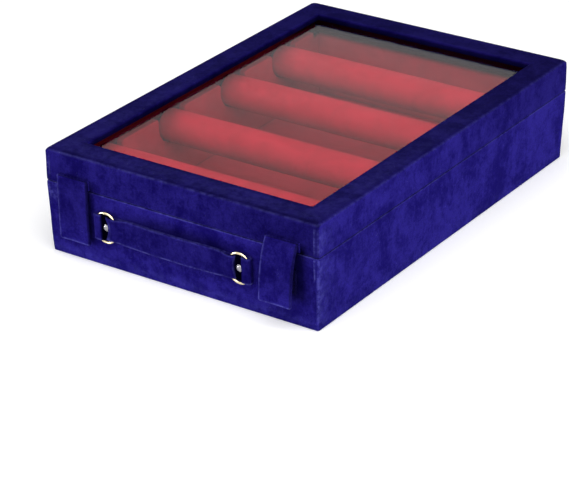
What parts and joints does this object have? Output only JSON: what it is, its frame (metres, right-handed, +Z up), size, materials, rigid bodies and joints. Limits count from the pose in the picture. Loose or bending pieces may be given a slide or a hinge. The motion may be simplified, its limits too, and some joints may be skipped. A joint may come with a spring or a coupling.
{
  "type": "bangle box",
  "caption": "Velvet-covered bangle box with a hinged window lid, padded rolls in notched side rails, hanging closing flaps and a carry strap on brass rings.",
  "frame": {"origin": "middle of the case's underside, on the surface it stands on", "axes": "+X to the right seen from the front, +Y from the front with the carry strap to the hinged back, +Z up"},
  "size_m": [0.26, 0.4002, 0.09],
  "materials": {
    "blue_velvet": "deep blue short-pile velvet over board, brushed and slightly mottled",
    "red_velvet": "red short-pile velvet lining",
    "roll_velvet": "red short-pile velvet over padding",
    "grey_board": "paper-faced fibre board",
    "brown_card": "wound card tube",
    "window": "clear sheet, slightly hazy",
    "brass": "polished yellow plating",
    "hinge_brass": "stamped sheet, plated",
    "bright_steel": "bright plated",
    "screw_steel": "plated small screws",
    "hook_fastener": "dark hook tape",
    "loop_fastener": "dark loop tape"
  },
  "bodies": {
    "base": {"base_walls": "blue_velvet", "bottom_board": "grey_board", "floor_lining": "red_velvet", "front_lining": "red_velvet", "back_lining": "red_velvet", "left_rail": "red_velvet", "right_rail": "red_velvet", "loop_pad_left": "loop_fastener", "loop_pad_right": "loop_fastener", "handle_tab_left": "blue_velvet", "handle_tab_right": "blue_velvet", "rivet_left": "bright_steel", "rivet_right": "bright_steel", "hinge_left_base_leaf": "hinge_brass", "hinge_left_pin": "bright_steel", "hinge_left_base_screw_1": "screw_steel", "hinge_left_base_screw_2": "screw_steel", "hinge_right_base_leaf": "hinge_brass", "hinge_right_pin": "bright_steel", "hinge_right_base_screw_1": "screw_steel", "hinge_right_base_screw_2": "screw_steel"},
    "lid": {"lid_shell": "blue_velvet", "window_pane": "window", "lid_lining_front": "red_velvet", "lid_lining_back": "red_velvet", "lid_lining_left": "red_velvet", "lid_lining_right": "red_velvet", "flap_anchor_left": "blue_velvet", "flap_anchor_right": "blue_velvet", "hinge_left_lid_leaf": "hinge_brass", "hinge_left_lid_screw_1": "screw_steel", "hinge_left_lid_screw_2": "screw_steel", "hinge_right_lid_leaf": "hinge_brass", "hinge_right_lid_screw_1": "screw_steel", "hinge_right_lid_screw_2": "screw_steel"},
    "left_flap": {"flap_left": "blue_velvet", "hook_pad_left": "hook_fastener"},
    "right_flap": {"flap_right": "blue_velvet", "hook_pad_right": "hook_fastener"},
    "roll_1": {"roll_1_cover": "roll_velvet", "roll_1_core": "brown_card", "roll_1_end_left": "roll_velvet", "roll_1_end_right": "roll_velvet"},
    "roll_2": {"roll_2_cover": "roll_velvet", "roll_2_core": "brown_card", "roll_2_end_left": "roll_velvet", "roll_2_end_right": "roll_velvet"},
    "roll_3": {"roll_3_cover": "roll_velvet", "roll_3_core": "brown_card", "roll_3_end_left": "roll_velvet", "roll_3_end_right": "roll_velvet"},
    "roll_4": {"roll_4_cover": "roll_velvet", "roll_4_core": "brown_card", "roll_4_end_left": "roll_velvet", "roll_4_end_right": "roll_velvet"},
    "strap": {"carry_strap": "blue_velvet"},
    "left_ring": {"ring_left": "brass"},
    "right_ring": {"ring_right": "brass"}
  },
  "joints": [
    {"name": "lid_hinge", "type": "hinge", "parent": "base", "child": "lid", "pos_m": [0, 0.1933, 0.06215], "axis": [-1, 0, 0], "range_deg": [0, 110]},
    {"name": "left_flap_fold", "type": "hinge", "parent": "lid", "child": "left_flap", "pos_m": [-0.1004, -0.1944, 0.0709], "axis": [-1, 0, 0], "range_deg": [0, 150]},
    {"name": "right_flap_fold", "type": "hinge", "parent": "lid", "child": "right_flap", "pos_m": [0.0989, -0.1944, 0.0709], "axis": [-1, 0, 0], "range_deg": [-10, 140]},
    {"name": "roll_1_turn", "type": "hinge", "parent": "base", "child": "roll_1", "pos_m": [0, -0.12462, 0.056], "axis": [1, 0, 0], "continuous": true},
    {"name": "roll_2_turn", "type": "hinge", "parent": "base", "child": "roll_2", "pos_m": [0, -0.03906, 0.056], "axis": [1, 0, 0], "continuous": true},
    {"name": "roll_3_turn", "type": "hinge", "parent": "base", "child": "roll_3", "pos_m": [0, 0.0491, 0.056], "axis": [1, 0, 0], "continuous": true},
    {"name": "roll_4_turn", "type": "hinge", "parent": "base", "child": "roll_4", "pos_m": [0, 0.12685, 0.056], "axis": [1, 0, 0], "continuous": true},
    {"name": "strap_pull", "type": "slide", "parent": "base", "child": "strap", "axis": [0, -0.9995, -0.0306], "range_m": [0, 0.0065]},
    {"name": "left_ring_swing", "type": "hinge", "parent": "base", "child": "left_ring", "pos_m": [-0.0776, -0.19332, 0.0366], "axis": [0, 0.0306, -0.9995], "range_deg": [0, 22.3]},
    {"name": "right_ring_swing", "type": "hinge", "parent": "base", "child": "right_ring", "pos_m": [0.0678, -0.19332, 0.0366], "axis": [0, -0.0306, 0.9995], "range_deg": [0, 22.3]}
  ],
  "couplings": [
    {"joint": "left_ring_swing", "follows": "strap_pull", "rad_per_m": 59.621},
    {"joint": "right_ring_swing", "follows": "strap_pull", "rad_per_m": 59.621}
  ]
}
